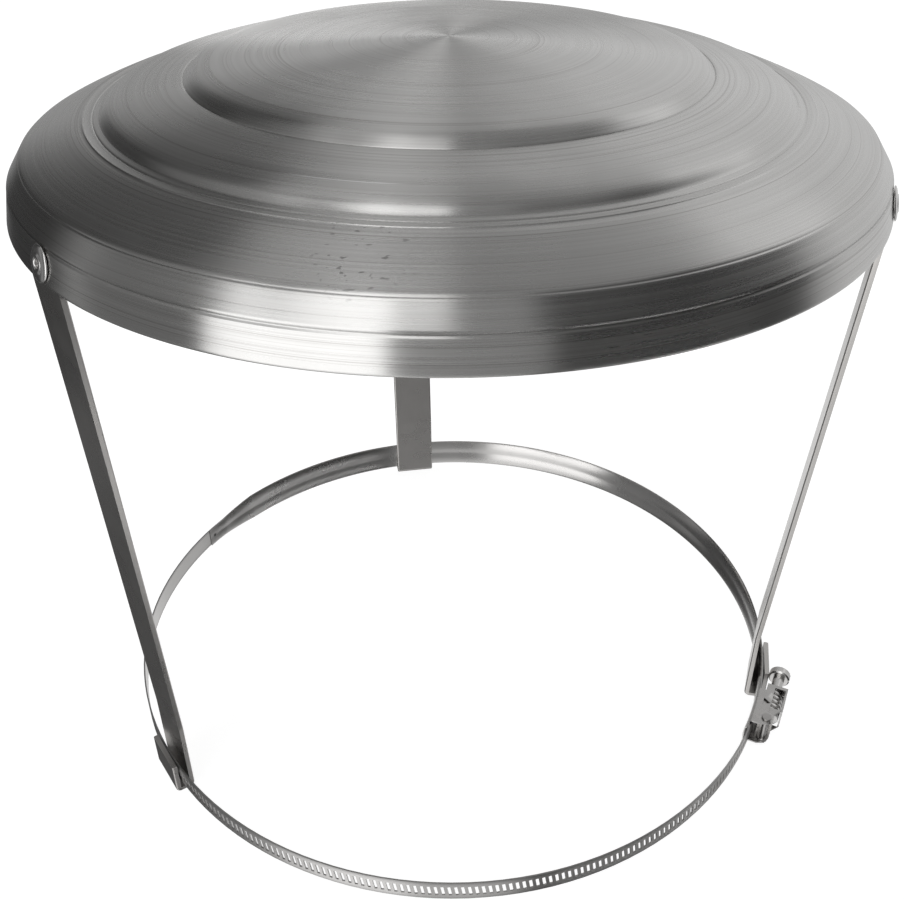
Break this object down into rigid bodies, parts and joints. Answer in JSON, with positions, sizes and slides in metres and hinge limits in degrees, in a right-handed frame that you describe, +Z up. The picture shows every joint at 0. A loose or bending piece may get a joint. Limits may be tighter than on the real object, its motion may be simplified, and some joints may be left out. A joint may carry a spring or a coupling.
{
  "type": "chimney pot cap",
  "caption": "Stepped, spun steel chimney pot cap on riveted strip legs, tied to the pot by a worm-drive band clamp.",
  "frame": {"origin": "on the lid's axis, in the plane of the undersides of the three hooks", "axes": "+Z up along the lid's axis; -Y is the picture's side; +X is the side of the clamp"},
  "size_m": [0.3, 0.3, 0.275],
  "materials": {
    "lid_steel": "spun and brushed round the axis",
    "leg_steel": "mill finish strip",
    "rivet_steel": "bright",
    "mandrel_steel": "plain",
    "strap_steel": "bright rolled strip",
    "slotted_steel": "bright rolled strip, slotted",
    "clamp_steel": "satin pressed sheet",
    "pin_steel": "satin",
    "screw_steel": "satin turned"
  },
  "bodies": {
    "cap_frame": {"cap_shell": "lid_steel", "leg_right": "leg_steel", "leg_back": "leg_steel", "leg_left": "leg_steel", "rivet_right": "rivet_steel", "rivet_back": "rivet_steel", "rivet_left": "rivet_steel", "rivet_mandrel_right": "mandrel_steel", "rivet_mandrel_back": "mandrel_steel", "rivet_mandrel_left": "mandrel_steel"},
    "band": {"plain_strap": "strap_steel", "clamp_saddle": "clamp_steel", "swivel_pin": "pin_steel"},
    "tail": {"slotted_strap": "slotted_steel"},
    "carriage": {"screw_carriage": "clamp_steel"},
    "worm": {"worm_screw": "screw_steel"}
  },
  "joints": [
    {"name": "band_turn", "type": "hinge", "parent": "cap_frame", "child": "band", "pos_m": [0, 0, 0.01], "axis": [0, 0, -1], "range_deg": [0, 108]},
    {"name": "strap_take_up", "type": "hinge", "parent": "band", "child": "tail", "pos_m": [0, 0, 0.01], "axis": [0, 0, 1], "range_deg": [-4.04, 5.05]},
    {"name": "carriage_swivel", "type": "hinge", "parent": "band", "child": "carriage", "pos_m": [0.13087, -0.06685, 0.01], "axis": [0, 0, -1], "range_deg": [0, 75]},
    {"name": "worm_turn", "type": "hinge", "parent": "carriage", "child": "worm", "pos_m": [0.13603, -0.05602, 0.01], "axis": [0.4305, 0.9026, 0], "range_deg": [-1440, 1800]}
  ],
  "couplings": [
    {"joint": "worm_turn", "follows": "strap_take_up", "ratio": 356.13}
  ]
}
